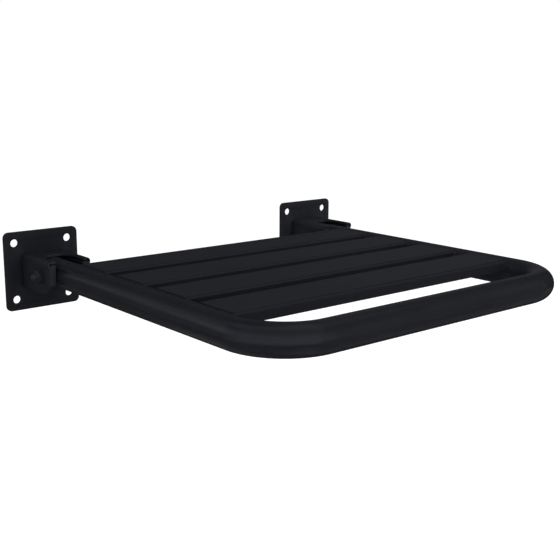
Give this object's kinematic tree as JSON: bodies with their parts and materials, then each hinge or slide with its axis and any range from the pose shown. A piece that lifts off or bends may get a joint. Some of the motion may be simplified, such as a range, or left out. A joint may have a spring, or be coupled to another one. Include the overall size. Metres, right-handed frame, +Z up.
{
  "type": "fold down wall seat",
  "caption": "Fold-down wall seat: a bent round-tube frame with folded sheet slats, hinged on two slotted wall brackets with square screw plates.",
  "frame": {"origin": "centre of the pattern of wall holes, on the wall's surface", "axes": "+X along the wall, from the left bracket to the right one; +Y into the wall, so the seat reaches out along -Y; +Z up"},
  "size_m": [0.545, 0.485, 0.1],
  "materials": {
    "bracket_finish": "satin black powder coat",
    "frame_finish": "satin black powder coat over a brushed tube",
    "slat_finish": "satin black powder coat",
    "fastener_finish": "black plated, slightly glossier than the coat",
    "bearing_nylon": "dull nylon",
    "plug_plastic": "fine moulded grain"
  },
  "bodies": {
    "wall_brackets": {"left_wall_plate": "bracket_finish", "left_bracket": "bracket_finish", "left_pivot_bolt": "fastener_finish", "left_dome_nut": "fastener_finish", "left_nut_washer": "fastener_finish", "left_head_washer": "fastener_finish", "left_outer_bush": "bearing_nylon", "left_inner_bush": "bearing_nylon", "right_wall_plate": "bracket_finish", "right_bracket": "bracket_finish", "right_pivot_bolt": "fastener_finish", "right_dome_nut": "fastener_finish", "right_nut_washer": "fastener_finish", "right_head_washer": "fastener_finish", "right_outer_bush": "bearing_nylon", "right_inner_bush": "bearing_nylon"},
    "seat": {"left_pivot_sleeve": "frame_finish", "left_heel_plug": "plug_plastic", "right_pivot_sleeve": "frame_finish", "right_heel_plug": "plug_plastic", "frame_tube": "frame_finish", "rear_slat": "slat_finish", "second_slat": "slat_finish", "third_slat": "slat_finish", "front_slat": "slat_finish"}
  },
  "joints": [
    {"name": "seat_fold", "type": "hinge", "parent": "wall_brackets", "child": "seat", "pos_m": [0, -0.0565, 0.002], "axis": [-1, 0, 0], "range_deg": [0, 95]}
  ]
}
